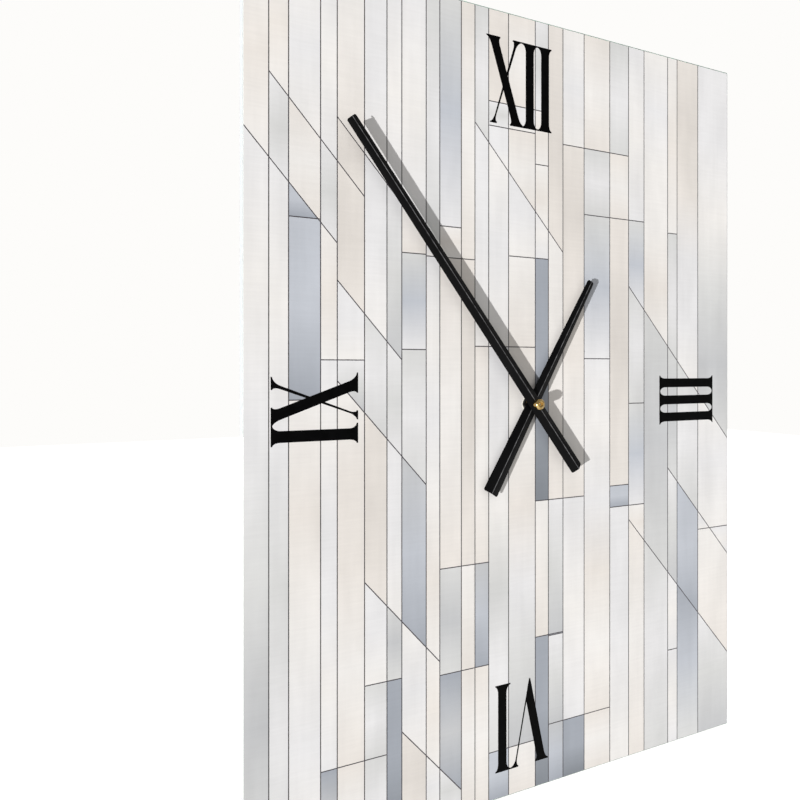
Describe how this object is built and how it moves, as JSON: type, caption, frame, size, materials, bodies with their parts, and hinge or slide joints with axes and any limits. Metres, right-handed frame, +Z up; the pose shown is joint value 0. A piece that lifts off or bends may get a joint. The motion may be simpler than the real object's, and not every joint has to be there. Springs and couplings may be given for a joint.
{
  "type": "wall clock",
  "caption": "Frameless portrait glass wall clock printed with vertical boards, black Roman numerals, folded black hands and a quartz movement.",
  "frame": {"origin": "on the wall plane, on the axis of the hands; the clock faces -Y", "axes": "+X to the right as the dial is read, +Y into the wall along the hands' axis, +Z up"},
  "size_m": [0.381, 0.0382, 0.508],
  "materials": {
    "clear_glass": "polished float glass, pale green, darker at the edges",
    "print": "satin print of vertical boards in warm white, grey and blue-grey",
    "black_ink": "dense black print",
    "black_hands": "satin black lacquer on sheet",
    "hand_brass": "polished",
    "turned_brass": "turned",
    "black_nut": "black-plated brass",
    "black_rubber": "matt",
    "case_black": "moulded, fine spark texture",
    "plate_white": "moulded natural acetal",
    "wheel_white": "moulded natural acetal",
    "screw_steel": "zinc-plated",
    "magnet": "sintered ferrite",
    "soft_iron": "stamped, bright",
    "copper_wire": "enamelled copper wire",
    "board": "green solder mask",
    "chip_resin": "epoxy",
    "can_steel": "drawn can",
    "spring_strip": "nickel-plated strip",
    "battery_jacket": "plain shrink jacket",
    "hanger_steel": "zinc-plated strip",
    "adhesive_foam": "white foam tape",
    "bumper_rubber": "matt",
    "washer_nylon": "natural nylon"
  },
  "bodies": {
    "clock": {"glass_panel": "clear_glass", "print_layer": "print", "numeral_ink": "black_ink", "fixing_nut": "black_nut", "fixing_washer": "washer_nylon", "gasket": "black_rubber", "threaded_bushing": "turned_brass", "case_front": "case_black", "back_cover": "case_black", "cover_screws": "screw_steel", "train_plate": "plate_white", "train_plate_screws": "screw_steel", "stator": "soft_iron", "coil_core": "soft_iron", "coil_bobbin": "plate_white", "coil_winding": "copper_wire", "circuit_board": "board", "control_chip": "chip_resin", "quartz_crystal": "can_steel", "contact_negative": "spring_strip", "contact_positive": "spring_strip", "battery": "battery_jacket", "hanger_plates": "hanger_steel", "hanger_pads": "adhesive_foam", "bumpers": "bumper_rubber"},
    "minute": {"minute_arbor": "turned_brass", "centre_wheel": "wheel_white", "minute_hand_bush": "turned_brass", "minute_hand": "black_hands", "hand_nut": "hand_brass"},
    "hour": {"hour_wheel": "wheel_white", "hour_hand_bush": "turned_brass", "hour_hand": "black_hands"},
    "minute_wheel": {"minute_wheel": "wheel_white"},
    "setting": {"setting_knob": "plate_white"},
    "third": {"third_wheel": "wheel_white"},
    "second": {"second_wheel": "wheel_white"},
    "intermediate": {"intermediate_wheel": "wheel_white"},
    "rotor": {"rotor_pinion": "wheel_white", "rotor_magnet": "magnet"}
  },
  "joints": [
    {"name": "minute_hand_turn", "type": "hinge", "parent": "clock", "child": "minute", "pos_m": [0, -0.012, 0], "axis": [0, 1, 0], "continuous": true},
    {"name": "hour_hand_turn", "type": "hinge", "parent": "clock", "child": "hour", "pos_m": [0, -0.012, 0], "axis": [0, 1, 0], "continuous": true},
    {"name": "minute_wheel_turn", "type": "hinge", "parent": "clock", "child": "minute_wheel", "pos_m": [0.00705, -0.012, -0.00257], "axis": [0, 1, 0], "continuous": true},
    {"name": "setting_knob_turn", "type": "hinge", "parent": "clock", "child": "setting", "pos_m": [0.01443, -0.012, -0.00387], "axis": [0, 1, 0], "continuous": true},
    {"name": "third_wheel_turn", "type": "hinge", "parent": "clock", "child": "third", "pos_m": [-0.00779, -0.012, 0.0045], "axis": [0, 1, 0], "continuous": true},
    {"name": "second_wheel_turn", "type": "hinge", "parent": "clock", "child": "second", "pos_m": [0, -0.012, 0], "axis": [0, 1, 0], "continuous": true},
    {"name": "intermediate_wheel_turn", "type": "hinge", "parent": "clock", "child": "intermediate", "pos_m": [0.00689, -0.012, 0.00579], "axis": [0, 1, 0], "continuous": true},
    {"name": "rotor_turn", "type": "hinge", "parent": "clock", "child": "rotor", "pos_m": [0.00834, -0.012, 0.01119], "axis": [0, 1, 0], "continuous": true}
  ],
  "couplings": [
    {"joint": "hour_hand_turn", "follows": "minute_hand_turn", "ratio": 0.083333},
    {"joint": "minute_wheel_turn", "follows": "minute_hand_turn", "ratio": -0.33333},
    {"joint": "setting_knob_turn", "follows": "minute_hand_turn", "ratio": 1},
    {"joint": "third_wheel_turn", "follows": "minute_hand_turn", "ratio": -8},
    {"joint": "second_wheel_turn", "follows": "minute_hand_turn", "ratio": 60},
    {"joint": "intermediate_wheel_turn", "follows": "minute_hand_turn", "ratio": -300},
    {"joint": "rotor_turn", "follows": "minute_hand_turn", "ratio": 1800}
  ]
}
